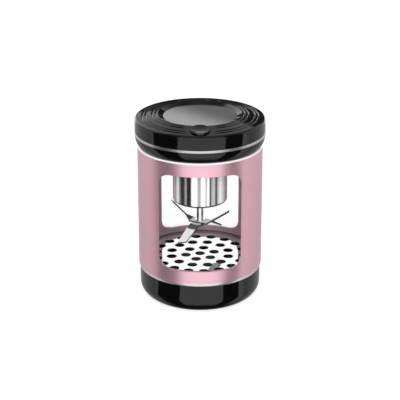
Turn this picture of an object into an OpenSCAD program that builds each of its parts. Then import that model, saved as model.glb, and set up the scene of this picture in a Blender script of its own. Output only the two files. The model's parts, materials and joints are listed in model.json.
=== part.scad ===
// Small battery-driven herb and spice grinder.
// A motor head with hanging cross blades plugs into a windowed metal tube with a glass liner.
// A round-hole sieve closes the tube's foot, and a push-on cup below it catches what falls through.
// Z is up, the origin is on the resting plane under the axis, and the push button faces -Y.

/* [Body tube] */
// Outer diameter of the metal tube
tube_d = 63; // [55:0.5:80]
// Height of the metal tube, bevels included
tube_h = 65.1; // [54:0.1:90]
// Wall of the metal tube
tube_wall = 1.5; // [1:0.1:2]
// Radial depth of the bright bevel at each end of the tube
bevel_in = 0.6; // [0.3:0.05:0.8]
// Height of the upper bevel
bevel_top_h = 0.7; // [0.4:0.05:1.2]
// Height of the lower bevel
bevel_bottom_h = 1.6; // [0.6:0.05:2]

/* [Windows] */
// Width of each window, straight across
window_w = 40.6; // [30:0.2:46]
// Tube left below each window
window_sill = 8.3; // [7:0.1:14]
// Tube left above each window
window_header = 7.1; // [6.5:0.1:12]
// Corner radius of each window
window_corner = 5.5; // [3:0.1:8]

/* [Glass liner] */
// Wall of the glass liner
glass_wall = 1.35; // [1:0.05:2]
// Glue gap between the liner and the tube
glass_gap = 0.15; // [0.1:0.05:0.3]

/* [Sieve] */
// Thickness of the sieve plate
sieve_t = 1; // [0.6:0.1:1.5]
// Diameter of the sieve's holes
sieve_hole_d = 5; // [3:0.1:5.8]
// Distance between the sieve's rings of holes
sieve_pitch = 7.54; // [6.6:0.02:9.2]
// Height of the sieve's upper face above the tube's foot
sieve_level = 4.9; // [4:0.1:6.5]
// Height of the silicone gasket under the glass
gasket_h = 0.6; // [0.5:0.1:2]

/* [Base cup] */
// Height of the base cup
base_h = 15.3; // [12.5:0.1:24]
// Wall of the base cup
base_wall = 2.15; // [1.6:0.05:2.6]
// Floor of the base cup
base_floor = 2.3; // [2:0.1:3]
// Rounding of the base cup's lower edge
base_round = 7; // [4:0.1:7.5]
// Depth that the collar's spigot enters the base cup
base_spigot_len = 6; // [5:0.1:7]
// Height that the rubber foot stands out of the base cup
foot_proud = 0.3; // [0.2:0.05:0.8]
// Width of the rubber foot ring
foot_w = 5.5; // [3:0.1:7]

/* [Motor head] */
// Radial overhang of the cap over the tube
cap_overhang = 1.2; // [0.6:0.1:2]
// Height of the skirt below the trim ring
skirt_h = 5.5; // [5:0.1:8]
// Inset of the skirt's lower edge, below the cap's radius
skirt_inset = 1.8; // [1.2:0.1:2.2]
// Height of the chrome trim ring
trim_h = 1.4; // [1:0.1:2]
// Height of the cap's side, from the trim ring to its shoulder
cap_side_h = 7.1; // [6.6:0.1:10]
// Rise of the cap's sloped top from the shoulder to the dish
cap_rise = 1.75; // [1.2:0.05:2.5]
// Wall of the cap
cap_wall = 2; // [1.6:0.1:2.2]
// Rounding of the cap's shoulder
cap_round = 1.4; // [0.8:0.1:1.8]
// Radius of the dish's rim in the cap
dish_r = 21; // [19.5:0.1:22]
// Depth of the dish down to the badge's face
dish_depth = 1.25; // [0.8:0.05:1.6]
// Radius of the badge disc
badge_r = 18.4; // [14:0.1:19]
// Thickness of the badge disc
badge_t = 0.8; // [0.5:0.1:1.2]
// Width of each groove in the cap's sloped top
groove_w = 0.9; // [0.5:0.1:1.4]
// Depth of those grooves
groove_depth = 0.42; // [0.2:0.02:0.7]
// Length of the spigot that plugs into the glass
spigot_len = 5.3; // [5:0.1:6]

/* [Button] */
// Diameter of the push button
button_d = 9.4; // [8:0.1:9.8]
// Clearance round the button
button_clear = 0.2; // [0.1:0.05:0.3]
// Height of the button's face over the cap's slope
button_proud = 0.8; // [0.6:0.1:1.4]
// Travel of the button
button_travel = 0.8; // [0.4:0.1:0.9]

/* [Motor] */
// Outer diameter of the chrome motor housing
housing_d = 27.6; // [27:0.1:32]
// Length of the housing below the head's floor
housing_drop = 24.9; // [22:0.1:26]
// Diameter of the motor's case
motor_d = 24.3; // [23.6:0.1:24.4]
// Diameter of the motor's shaft
shaft_d = 2; // [1.8:0.1:2.4]

/* [Blades] */
// Level of the blades, as a share of the gap from the sieve up to the motor's nose
blade_level = 0.6; // [0.55:0.05:0.7]
// Radius that the upper blade sweeps
upper_sweep_r = 17.1; // [15:0.1:21]
// Radius that the lower blade sweeps
lower_sweep_r = 16.4; // [12:0.1:17]
// Rise angle of the upper blade's arms
upper_bend = 36; // [20:1:38]
// Fall angle of the lower blade's arms
lower_bend = 30; // [20:1:34]
// Width of a blade at its middle
blade_w = 5.2; // [3.5:0.1:6]
// Width of a blade's arms at their tips
blade_tip_w = 4.2; // [3:0.1:5.5]
// Thickness of a blade
blade_t = 0.8; // [0.5:0.1:1]

/* [Hidden] */
$fn = 96;

// Clearances and seams
seam = 0.1;
slip = 0.3;
seal_clear = 0.1;
sink = 0.05;
cut = 1;

// Levels, from the resting plane up
base_z0 = foot_proud;
base_z1 = base_z0 + base_h;
tube_z0 = base_z1 + seam;
tube_z1 = tube_z0 + tube_h;
sieve_z1 = tube_z0 + sieve_level;
sieve_z0 = sieve_z1 - sieve_t;
glass_z0 = sieve_z1 + gasket_h;
glass_short = 0.2;
glass_z1 = tube_z1 - glass_short;
head_z0 = tube_z1 + seam;
skirt_z1 = head_z0 + skirt_h;
trim_z1 = skirt_z1 + trim_h;
shoulder_z = trim_z1 + cap_side_h;
rim_z = shoulder_z + cap_rise;
badge_z1 = rim_z - dish_depth;
badge_z0 = badge_z1 - badge_t;

// Radii, from the outside in
tube_r = tube_d / 2;
tube_in_r = tube_r - tube_wall;
glass_r = tube_in_r - glass_gap;
glass_in_r = glass_r - glass_wall;
base_r = tube_r - bevel_in;
base_in_r = base_r - base_wall;
cap_r = tube_r + cap_overhang;
cone_r = cap_r - cap_round;
slope = atan(cap_rise / (cone_r - dish_r));
hollow_r = cap_r - cap_wall - 0.4;
hollow_z = min(badge_z0, shoulder_z - 0.4) - cap_wall;

// Windows
window_z0 = tube_z0 + window_sill;
window_h = tube_h - window_sill - window_header;

// Lower collar
collar_r = tube_in_r - sink;
collar_spigot_r = base_in_r - slip;
collar_wall = 1.85;
collar_in_r = collar_spigot_r - collar_wall;
collar_z0 = tube_z0 - base_spigot_len;
sieve_seat = 0.3;
sieve_r = glass_in_r + sieve_seat;
seal_band = 2.1;
seal_groove = 1.15;
seal_section = (seal_groove + slip - seal_clear) / 2;
base_seal_z = tube_z0 - base_spigot_len / 2;

// Sieve rings: as many as stay clear of the collar's ledge
sieve_edge = 1;
sieve_rings = floor((collar_in_r - sieve_edge - sieve_hole_d / 2) / sieve_pitch);
sieve_turn = 15;

// Rubber foot
foot_r = base_r - base_round - 1.4;
foot_in = 1;

// Head chassis
spigot_r = glass_in_r - slip;
spigot_wall = 2.2;
spigot_in_r = spigot_r - spigot_wall;
floor_t = 2.4;
housing_gap = 0.2;
floor_z0 = head_z0 - spigot_len;
floor_z1 = floor_z0 + floor_t;
ledge_t = 1.5;
ledge_z1 = head_z0 + ledge_t;
lip_depth = 1.4;
trim_proud = 0.1;
lip_gap = 0.1;
lip_wall = 1.5;
lip_r = cap_r - cap_wall - slip;
lip_in_r = lip_r - lip_wall;
skirt_in_r = lip_in_r + 0.4;
head_seal_up = 2.8;
head_seal_z = floor_z0 + head_seal_up;
key_w = 2.4;
key_h = 3;
key_out = glass_wall - 0.35;
skirt_arc_r = (skirt_h * skirt_h + skirt_inset * skirt_inset) / (2 * skirt_inset);

// Board, posts and bosses
board_t = 1;
board_z1 = skirt_z1 + 0.2;
board_z0 = board_z1 - board_t;
board_r = lip_in_r - 0.5;
post_r = 2.5;
post_gap = 1;
post_ring = spigot_in_r - post_r - post_gap;
post_angles = [90, 210, 330];
boss_angles = [30, 150, 270];
boss_r = 2.2;
screw_r = 1;
screw_head_r = 1.8;
screw_head_h = 1.3;
screw_play = 0.15;
slot_w = 0.5;
slot_deep = 0.6;

// Button and switch
button_r = button_d / 2;
button_y = -(dish_r + button_r + button_clear);
button_z = rim_z - tan(slope) * (-button_y - dish_r);
tab_w = 3;
tab_out = 1.4;
tab_t = 1;
button_foot_z = hollow_z - tab_t - seam;
button_wall = 1.2;
button_hollow = 2.4;
button_blank_h = 12;
button_dimple = 0.4;
button_rim = 0.5;
button_dish_r = button_r - button_rim;
button_dimple_r = button_dish_r * button_dish_r / (2 * button_dimple) + button_dimple / 2;
switch_size = 4.6;
switch_h = 3.2;
switch_floor = 0.8;
switch_z1 = board_z1 + switch_h;
plunger_r = 1.5;
stem_r = 1.2;
plunger_foot_z = board_z1 + switch_floor + button_travel + 0.2;
plunger_top_z = switch_z1 + button_travel + 0.3;
front_boss_ring = -button_y - switch_size / 2 - screw_head_r - 1.3;

// Charging socket, under the board's rear edge
usb_w = 8.9;
usb_h = 3.1;
usb_depth = 6.8;
usb_wall = 0.3;
usb_y1 = cap_r - 0.7;
usb_z0 = board_z0 - usb_h;

// Battery, between the posts and over the board
tape_t = 0.3;
battery_w = 2 * (post_ring * cos(30) - post_r - 2);
battery_y0 = -(front_boss_ring - screw_head_r - 1.2);
battery_y1 = post_ring - post_r - 2;
battery_h = hollow_z - 0.4 - board_z1 - tape_t;

// Leads
lead_r = 0.5;
lead_gap = 3;
chip_w = 5;
chip_x = 9;
lead_reach = 1.5;
terminal_y = 8.5;

// Motor and its housing
housing_r = housing_d / 2;
housing_wall = 0.8;
housing_z0 = floor_z0 - housing_drop;
flange_r = housing_r + 3.8;
flange_screw_ring = housing_r + 2;
flange_clear = 0.3;
motor_r = motor_d / 2;
motor_wall = 0.9;
motor_z0 = housing_z0 + housing_wall;
motor_len = 26.8;
motor_z1 = motor_z0 + motor_len;
bell_h = 4;
brush_bay_r = 6.5;
brush_bay_h = 1.6;
terminal_w = 2.6;
terminal_t = 0.5;
terminal_z0 = motor_z1 + 2;
terminal_z1 = terminal_z0 + 3.4;
nose_r = 3;
nose_bore = 2.2;
bushing_r = nose_bore - sink;
nose_h = 1.4;
nose_z0 = motor_z0 - nose_h;
motor_screw_x = 8;
damper_ups = [5, 17];
damper_h = 4;
magnet_in_r = 8.7;
core_r = 8.2;
core_z0 = motor_z0 + 6;
core_len = 15;
coil_over = 2;
coil_in_r = 3.4;
coil_depth = 2.7;
coil_w = 5.2;
winding_gap = 0.05;
pole_w = 2.4;
pole_t = 1.4;
commutator_z0 = core_z0 + core_len + coil_over + 0.6;
commutator_len = 3.4;
commutator_r = 2.6;
bar_gap = 0.4;
brush_w = 2;
brush_len = 2.6;
shaft_r = shaft_d / 2;
bearing_gap = 0.03;
press_gap = 0.01;
shaft_z1 = motor_z1 + 2.4;

// Blades and hub
blade_gap = nose_z0 - sieve_z1;
blade_z = sieve_z1 + blade_level * blade_gap;
hub_r = 1.7;
hub_flange_r = 2.6;
hub_flange_h = 0.8;
hub_z1 = nose_z0 - 1;
stud_r = 1.3;
stud_h = 3;
shaft_in_hub = 6;
tip_head_r = 2.2;
tip_head_h = 0.9;
tip_screw_r = 0.73;
tip_screw_len = 2.4;
bend_r = 5.2;
upper_azimuth = -28;
lower_azimuth = upper_azimuth + 82;
upper_twists = [0, 34];
lower_twists = [0, 0];
twist_len = 3;
tuck = 0.3;
tip_slant = 1.8;

// Groove centres across the sloped top
groove_rings = [0.13, 0.31, 0.62, 0.79];
groove_end = 7.4;

// ---- shared shapes ----

// Ring of rectangular section
module ring(r_in, r_out, z0, z1) {
    rotate_extrude()
        translate([r_in, z0]) square([r_out - r_in, z1 - z0]);
}

// Seal ring of round section, lying in a groove
module round_seal(r, section, z) {
    rotate_extrude()
        translate([r, z]) circle(r = section);
}

// What a seal's groove takes out of a spigot of radius r
module seal_groove_ring(r, z) {
    ring(r - seal_groove, r + cut, z - seal_band / 2, z + seal_band / 2);
}

// Pan-head screw standing on its head's lower face at z, shank down
module screw_down(x, y, z, shank) {
    translate([x, y, z - shank]) cylinder(r = screw_r, h = shank + sink);
    difference() {
        translate([x, y, z]) cylinder(r = screw_head_r, h = screw_head_h);
        translate([x, y, z + screw_head_h - slot_deep]) cross_slot();
    }
}

// Cross recess in a screw's head
module cross_slot() {
    for (turn = [0, 90])
        rotate(turn) translate([-1.1, -slot_w / 2, 0]) cube([2.2, slot_w, 2]);
}

// Flat outline of a rectangle with round corners
module rounded_rect(w, h, r) {
    translate([-w / 2 + r, 0]) square([w - 2 * r, h]);
    translate([-w / 2, r]) square([w, h - 2 * r]);
    for (x = [-w / 2 + r, w / 2 - r], y = [r, h - r])
        translate([x, y]) circle(r = r);
}

// ---- base ----

module base_cup() {
    inner_round = base_round - base_wall;
    color([0.05, 0.05, 0.055])
    difference() {
        rotate_extrude() base_outline(base_r, base_z0, base_z1, base_round);
        rotate_extrude() base_outline(base_in_r, base_z0 + base_floor, base_z1 + cut, inner_round);
        ring(foot_r - foot_w, foot_r, base_z0 - cut, base_z0 + foot_in);
    }
}

// Half section of a cup's solid, with its lower edge rounded
module base_outline(r, z0, z1, fillet) {
    translate([0, z0]) square([r - fillet, z1 - z0]);
    translate([0, z0 + fillet]) square([r, z1 - z0 - fillet]);
    intersection() {
        translate([r - fillet, z0 + fillet]) circle(r = fillet);
        translate([0, z0]) square([r, z1 - z0]);
    }
}

module foot_ring() {
    color([0.12, 0.12, 0.12])
    ring(foot_r - foot_w, foot_r, 0, base_z0 + foot_in);
}

// ---- chamber ----

module body_tube() {
    color([0.86, 0.62, 0.68])
    difference() {
        rotate_extrude() polygon([
            [tube_in_r, tube_z0], [tube_r - bevel_in, tube_z0],
            [tube_r, tube_z0 + bevel_bottom_h], [tube_r, tube_z1 - bevel_top_h],
            [tube_r - bevel_in, tube_z1], [tube_in_r, tube_z1]
        ]);
        translate([0, tube_r + cut, window_z0]) rotate([90, 0, 0])
            linear_extrude(height = tube_d + 2 * cut)
                rounded_rect(window_w, window_h, window_corner);
    }
}

module glass_liner() {
    color([0.85, 0.92, 0.95, 0.3])
    difference() {
        ring(glass_in_r, glass_r, glass_z0, glass_z1);
        for (turn = [0, 180]) rotate(turn)
            translate([glass_in_r - cut, -key_w / 2 - slip, head_z0 - key_h - slip])
                cube([glass_wall + 2 * cut, key_w + 2 * slip, key_h + cut]);
    }
}

module lower_collar() {
    color([0.07, 0.07, 0.075])
    difference() {
        union() {
            ring(collar_in_r, collar_r, tube_z0, sieve_z1);
            ring(collar_in_r, collar_spigot_r, collar_z0, tube_z0 + sink);
        }
        translate([0, 0, sieve_z0]) cylinder(r = sieve_r + sink, h = sieve_t + cut);
        seal_groove_ring(collar_spigot_r, base_seal_z);
    }
}

module sieve_plate() {
    color([0.88, 0.88, 0.9])
    difference() {
        translate([0, 0, sieve_z0]) cylinder(r = sieve_r, h = sieve_t);
        sieve_hole(0, 0);
        for (n = [1 : sieve_rings], k = [0 : 6 * n - 1])
            sieve_hole(n * sieve_pitch, sieve_turn + k * 60 / n);
    }
}

module sieve_hole(r, angle) {
    rotate(angle) translate([r, 0, sieve_z0 - cut])
        cylinder(d = sieve_hole_d, h = sieve_t + 2 * cut);
}

module sieve_gasket() {
    color([0.8, 0.8, 0.8])
    ring(glass_in_r, collar_r, sieve_z1, glass_z0);
}

module base_seal() {
    color([0.75, 0.75, 0.75])
    round_seal(base_in_r - seal_clear - seal_section, seal_section, base_seal_z);
}

// ---- head shells ----

module head_chassis() {
    color([0.05, 0.05, 0.055])
    difference() {
        union() {
            difference() {
                rotate_extrude() chassis_outline();
                chassis_cavity();
            }
            for (angle = boss_angles) board_boss(angle);
            for (turn = [0, 180]) rotate(turn)
                translate([spigot_r - 0.5, -key_w / 2, head_z0 - key_h])
                    cube([key_out + slip + 0.5, key_w, key_h + sink]);
        }
        translate([0, 0, floor_z0 - cut]) cylinder(r = housing_r + housing_gap, h = floor_t + 2 * cut);
        seal_groove_ring(spigot_r, head_seal_z);
        for (angle = post_angles) rotate(angle) translate([post_ring, 0, floor_z0 - cut]) {
            cylinder(r = screw_r + screw_play, h = floor_t + 2 * cut);
            cylinder(r = screw_head_r + 0.2, h = screw_head_h + 0.1 + cut);
        }
        for (angle = [0, 120, 240]) rotate(angle)
            translate([flange_screw_ring, 0, floor_z0 + 0.6]) cylinder(r = screw_r, h = floor_t);
        for (angle = boss_angles) at_boss(angle)
            translate([0, 0, board_z0 - 4]) cylinder(r = screw_r, h = 4 + cut);
        translate([-usb_w / 2 - 0.2, skirt_in_r - 2, usb_z0 - 0.2])
            cube([usb_w + 0.4, 8, usb_h + 0.4]);
    }
}

// Half section of the chassis's outer form: spigot below, round skirt above
module chassis_outline() {
    translate([0, floor_z0]) square([spigot_r, spigot_len + sink]);
    intersection() {
        translate([0, head_z0]) square([cap_r, skirt_h]);
        translate([cap_r - skirt_arc_r, skirt_z1]) circle(r = skirt_arc_r);
    }
    translate([0, head_z0]) square([cap_r - skirt_arc_r, skirt_h]);
}

// What is hollowed out of the chassis
module chassis_cavity() {
    translate([0, 0, floor_z1]) cylinder(r = spigot_in_r, h = skirt_z1 - floor_z1 + cut);
    translate([0, 0, ledge_z1]) cylinder(r = skirt_in_r, h = skirt_h);
    translate([0, 0, skirt_z1 - lip_depth - lip_gap]) cylinder(r = lip_r + lip_gap, h = skirt_h);
}

// Places a child at one of the board's bosses
module at_boss(angle) {
    r = angle == 270 ? front_boss_ring : post_ring;
    rotate(angle) translate([r, 0, 0]) children();
}

module board_boss(angle) {
    at_boss(angle) translate([0, 0, floor_z1 - sink])
        cylinder(r = boss_r, h = board_z0 - floor_z1 + sink);
}

module trim_ring() {
    color([0.8, 0.8, 0.82])
    ring(lip_r + lip_gap, cap_r + trim_proud, skirt_z1, trim_z1);
}

module top_cap() {
    color([0.05, 0.05, 0.055])
    difference() {
        union() {
            difference() {
                rotate_extrude() cap_outline();
                rotate_extrude() cap_hollow();
            }
            ring(lip_in_r, lip_r, skirt_z1 - lip_depth, trim_z1 + 1);
            for (angle = post_angles) rotate(angle) translate([post_ring, 0, floor_z1])
                cylinder(r = post_r, h = hollow_z + sink - floor_z1);
        }
        for (share = groove_rings) cap_groove(dish_r + share * (cone_r - dish_r));
        translate([0, button_y, button_foot_z - 3])
            cylinder(r = button_r + button_clear, h = 12);
        for (angle = post_angles) rotate(angle) translate([post_ring, 0, floor_z1 - cut])
            cylinder(r = screw_r, h = 8 + cut);
        translate([-usb_w / 2 - 0.6, skirt_in_r - 3, usb_z0])
            cube([usb_w + 1.2, 8, usb_h + 0.3]);
    }
}

// Half section of the cap's outer form: rounded shoulder, sloped top, dish and badge pocket
module cap_outline() {
    difference() {
        union() {
            polygon([
                [0, trim_z1], [cap_r, trim_z1], [cap_r, shoulder_z - cap_round * cos(slope)],
                [cone_r, shoulder_z - 0.01], [cone_r, shoulder_z], [dish_r, rim_z], [0, rim_z]
            ]);
            translate([cone_r, shoulder_z - cap_round]) circle(r = cap_round);
        }
        polygon([
            [0, rim_z + cut], [dish_r, rim_z + cut], [dish_r, rim_z],
            [badge_r + seam, badge_z1], [badge_r + seam, badge_z0], [0, badge_z0]
        ]);
    }
}

// Half section of the hollow under the cap
module cap_hollow() {
    translate([0, trim_z1 - cut]) square([hollow_r, hollow_z - trim_z1 + cut]);
}

// One V groove, square to the cap's slope and stopping short of the button on both sides
module cap_groove(r) {
    z = rim_z - tan(slope) * (r - dish_r);
    stop = asin(groove_end / r);
    mouth = groove_w / 2 * (1 + cut / groove_depth);
    rotate(-90 + stop) rotate_extrude(angle = 360 - 2 * stop) translate([r, z]) rotate(-slope)
        polygon([[-mouth, cut], [0, -groove_depth], [mouth, cut]]);
}

module badge_disc() {
    color([0.5, 0.5, 0.5])
    translate([0, 0, badge_z0]) cylinder(r = badge_r, h = badge_t);
}

module head_seal() {
    color([0.75, 0.75, 0.75])
    round_seal(glass_in_r - seal_clear - seal_section, seal_section, head_seal_z);
}

// Screws that come up through the chassis floor into the cap's posts
module cap_screws() {
    color([0.6, 0.6, 0.62])
    for (angle = post_angles) rotate(angle)
        translate([post_ring, 0, floor_z0 + screw_head_h]) mirror([0, 0, 1])
            screw_down(0, 0, 0, 7);
}

// ---- motor ----

module motor_housing() {
    color([0.85, 0.85, 0.87])
    difference() {
        union() {
            rotate_extrude() base_outline(housing_r, housing_z0, floor_z1 + housing_wall, 1.2);
            ring(housing_r - housing_wall, flange_r, floor_z1, floor_z1 + housing_wall);
        }
        rotate_extrude()
            base_outline(housing_r - housing_wall, motor_z0, floor_z1 + housing_wall + cut, 0.5);
        translate([0, 0, housing_z0 - cut]) cylinder(r = nose_r + 0.1, h = 3);
        for (x = [-motor_screw_x, motor_screw_x])
            translate([x, 0, housing_z0 - cut]) cylinder(r = screw_r + 0.2, h = 3);
        for (angle = [0, 120, 240]) rotate(angle)
            translate([flange_screw_ring, 0, floor_z1 - cut]) cylinder(r = screw_r + screw_play, h = 3);
        for (angle = post_angles) rotate(angle) translate([post_ring, 0, floor_z1 - cut])
            cylinder(r = post_r + flange_clear, h = 3);
        for (angle = boss_angles) at_boss(angle) translate([0, 0, floor_z1 - cut])
            cylinder(r = boss_r + flange_clear, h = 3);
    }
}

module housing_screws() {
    color([0.6, 0.6, 0.62])
    for (angle = [0, 120, 240]) rotate(angle)
        screw_down(flange_screw_ring, 0, floor_z1 + housing_wall, 2.4);
}

module motor_case() {
    color([0.7, 0.7, 0.7])
    difference() {
        union() {
            translate([0, 0, motor_z0]) cylinder(r = motor_r, h = motor_len);
            translate([0, 0, nose_z0]) cylinder(r = nose_r, h = nose_h + sink);
        }
        translate([0, 0, motor_z0 + motor_wall])
            cylinder(r = motor_r - motor_wall, h = motor_len);
        translate([0, 0, nose_z0 - cut]) cylinder(r = nose_bore, h = nose_h + motor_wall + 2 * cut);
        for (x = [-motor_screw_x, motor_screw_x])
            translate([x, 0, motor_z0 - cut]) cylinder(r = screw_r, h = 3);
    }
}

module motor_magnets() {
    color([0.25, 0.25, 0.27])
    for (turn = [30, 210]) rotate(turn)
        rotate_extrude(angle = 120)
            translate([magnet_in_r, core_z0 - 1])
                square([motor_r - motor_wall - sink - magnet_in_r, core_len + 2]);
}

module motor_end_bell() {
    color([0.92, 0.92, 0.9])
    difference() {
        union() {
            translate([0, 0, motor_z1]) cylinder(r = motor_r - 0.2, h = bell_h);
            translate([0, 0, motor_z1 - 1.2]) cylinder(r = motor_r - motor_wall - sink, h = 1.3);
        }
        translate([0, 0, motor_z1 - 2]) cylinder(r = brush_bay_r, h = 2 + brush_bay_h);
        translate([0, 0, motor_z1]) cylinder(r = nose_bore, h = brush_bay_h + 1.5);
        for (y = [-terminal_y, terminal_y])
            translate([-terminal_w / 2, y - terminal_t / 2 - sink, terminal_z0])
                cube([terminal_w, terminal_t + 2 * sink, bell_h]);
    }
}

module motor_terminals() {
    color([0.85, 0.7, 0.35])
    for (y = [-terminal_y, terminal_y])
        difference() {
            translate([-terminal_w / 2, y - terminal_t / 2, terminal_z0])
                cube([terminal_w, terminal_t, terminal_z1 - terminal_z0]);
            translate([0, y - cut, terminal_z1 - 0.9]) rotate([-90, 0, 0])
                cylinder(r = 0.35, h = 2 * cut);
        }
}

module motor_brushes() {
    color([0.3, 0.26, 0.22])
    for (turn = [0, 180]) rotate(turn)
        translate([-brush_w / 2, commutator_r + sink, commutator_z0 + 0.7])
            cube([brush_w, brush_len, brush_w]);
}

// Sleeve bearings in the case's nose and in the end bell
module motor_bushings() {
    color([0.75, 0.58, 0.32])
    ring(shaft_r + bearing_gap, bushing_r, nose_z0 + 0.2, nose_z0 + 2.2);
    ring(shaft_r + bearing_gap, bushing_r, motor_z1 + brush_bay_h + 0.1, motor_z1 + brush_bay_h + 1.5);
}

module motor_dampers() {
    color([0.15, 0.15, 0.15])
    for (up = damper_ups)
        ring(motor_r, housing_r - housing_wall, motor_z0 + up, motor_z0 + up + damper_h);
}

module motor_screws() {
    color([0.6, 0.6, 0.62])
    for (x = [-motor_screw_x, motor_screw_x])
        translate([x, 0, housing_z0]) mirror([0, 0, 1]) screw_down(0, 0, 0, 1.6);
}

module shaft_seal() {
    color([0.2, 0.2, 0.2])
    ring(shaft_r + sink, bushing_r, nose_z0 - 0.4, nose_z0 + 0.15);
}

// ---- electronics ----

module circuit_board() {
    color([0.1, 0.4, 0.2])
    difference() {
        translate([0, 0, board_z0]) cylinder(r = board_r, h = board_t);
        for (angle = post_angles) rotate(angle) translate([post_ring, 0, board_z0 - cut])
            cylinder(r = post_r + 0.4, h = board_t + 2 * cut);
        for (angle = boss_angles) at_boss(angle) translate([0, 0, board_z0 - cut])
            cylinder(r = screw_r + 0.1, h = board_t + 2 * cut);
    }
}

module board_screws() {
    color([0.6, 0.6, 0.62])
    for (angle = boss_angles) at_boss(angle) screw_down(0, 0, board_z1, 4);
}

module battery_cell() {
    color([0.75, 0.76, 0.8])
    translate([-battery_w / 2, battery_y0, board_z1 + tape_t])
        cube([battery_w, battery_y1 - battery_y0, battery_h]);
}

module battery_tape() {
    color([0.9, 0.85, 0.3])
    translate([-battery_w / 2 + 3, battery_y0 + 3, board_z1])
        cube([battery_w - 6, battery_y1 - battery_y0 - 6, tape_t]);
}

module usb_socket() {
    color([0.75, 0.75, 0.77])
    difference() {
        translate([-usb_w / 2, usb_y1 - usb_depth, usb_z0]) cube([usb_w, usb_depth, usb_h]);
        difference() {
            translate([-usb_w / 2 + usb_wall, usb_y1 - usb_depth + 1, usb_z0 + usb_wall])
                cube([usb_w - 2 * usb_wall, usb_depth, usb_h - 2 * usb_wall]);
            translate([-usb_w / 2 + 1.2, usb_y1 - usb_depth, usb_z0 + usb_h / 2 - 0.35])
                cube([usb_w - 2.4, usb_depth - 1, 0.7]);
        }
    }
}

// Two short leads, from the motor's terminals up to the board
module motor_leads() {
    color([0.7, 0.1, 0.1])
    for (y = [-terminal_y, terminal_y])
        translate([0, y, terminal_z1]) cylinder(r = lead_r, h = board_z0 - terminal_z1);
}

// Two leads, out of the cell's front edge and down to the board
module battery_leads() {
    color([0.7, 0.1, 0.1])
    for (x = [-lead_gap, lead_gap]) translate([x, battery_y0, board_z1 + tape_t + battery_h / 2]) {
        rotate([90, 0, 0]) cylinder(r = lead_r, h = lead_reach);
        translate([0, -lead_reach, 0]) sphere(r = lead_r);
        translate([0, -lead_reach, -tape_t - battery_h / 2])
            cylinder(r = lead_r, h = tape_t + battery_h / 2);
    }
}

module switch_body() {
    color([0.15, 0.15, 0.16])
    difference() {
        translate([-switch_size / 2, button_y - switch_size / 2, board_z1])
            cube([switch_size, switch_size, switch_h]);
        translate([0, button_y, board_z1 + switch_floor]) cylinder(r = plunger_r + seam, h = switch_h);
    }
}

module board_chips() {
    color([0.1, 0.1, 0.1])
    for (side = [-1, 1]) {
        translate([side * chip_x - chip_w / 2, button_y + switch_size / 2 + 0.4, board_z1])
            cube([chip_w, 4, 1.1]);
        translate([side * 12.5 - 1, battery_y1 + 0.6, board_z1]) cube([2, 1.2, 0.9]);
    }
}

// ---- button ----

module power_button() {
    color([0.09, 0.09, 0.1])
    difference() {
        union() {
            difference() {
                intersection() {
                    translate([0, button_y, button_foot_z]) cylinder(r = button_r, h = button_blank_h);
                    translate([0, button_y, button_z + button_proud]) rotate([slope, 0, 0])
                        translate([-20, -20, -20]) cube([40, 40, 20]);
                }
                translate([0, button_y, button_foot_z - cut])
                    cylinder(r = button_r - button_wall, h = button_hollow + cut);
            }
            translate([0, button_y, plunger_top_z])
                cylinder(r = stem_r, h = button_foot_z + button_hollow + sink - plunger_top_z);
            for (turn = [0, 180]) translate([0, button_y, button_foot_z]) rotate(turn)
                translate([button_r - button_wall, -tab_w / 2, 0])
                    cube([tab_out + button_wall, tab_w, tab_t]);
        }
        translate([0, button_y, button_z + button_proud]) rotate([slope, 0, 0])
            rotate_extrude() intersection() {
                translate([0, button_dimple_r - button_dimple]) circle(r = button_dimple_r);
                translate([0, -button_dimple]) square([button_d, 3 * button_dimple]);
            }
    }
}

module switch_plunger() {
    color([0.85, 0.85, 0.82])
    translate([0, button_y, plunger_foot_z])
        cylinder(r = plunger_r, h = plunger_top_z - plunger_foot_z);
}

// ---- rotor ----

module motor_shaft() {
    color([0.8, 0.8, 0.82])
    translate([0, 0, hub_z1 - shaft_in_hub])
        cylinder(r = shaft_r, h = shaft_z1 - hub_z1 + shaft_in_hub);
}

module armature_core() {
    color([0.55, 0.55, 0.57])
    translate([0, 0, core_z0]) linear_extrude(height = core_len) difference() {
        union() {
            circle(r = 3);
            for (k = [0 : 2]) rotate(120 * k) {
                translate([0, -pole_w / 2]) square([core_r - pole_t / 2, pole_w]);
                intersection() {
                    difference() {
                        circle(r = core_r);
                        circle(r = core_r - pole_t);
                    }
                    polygon([[0, 0], [12, -12], [14, 0], [12, 12]]);
                }
            }
        }
        circle(r = shaft_r + press_gap);
    }
}

module armature_coils() {
    color([0.72, 0.38, 0.18])
    for (k = [0 : 2]) rotate(120 * k)
        translate([coil_in_r, 0, core_z0 - coil_over]) difference() {
            translate([0, -coil_w / 2, 0]) cube([coil_depth, coil_w, core_len + 2 * coil_over]);
            translate([-cut, -pole_w / 2 - winding_gap, coil_over - winding_gap])
                cube([coil_depth + 2 * cut, pole_w + 2 * winding_gap, core_len + 2 * winding_gap]);
        }
}

module commutator() {
    color([0.8, 0.55, 0.3])
    difference() {
        ring(shaft_r + press_gap, commutator_r, commutator_z0, commutator_z0 + commutator_len);
        for (k = [0 : 2]) rotate(120 * k)
            translate([commutator_r - 0.7, -bar_gap / 2, commutator_z0 - cut])
                cube([2, bar_gap, commutator_len + 2 * cut]);
    }
}

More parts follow.
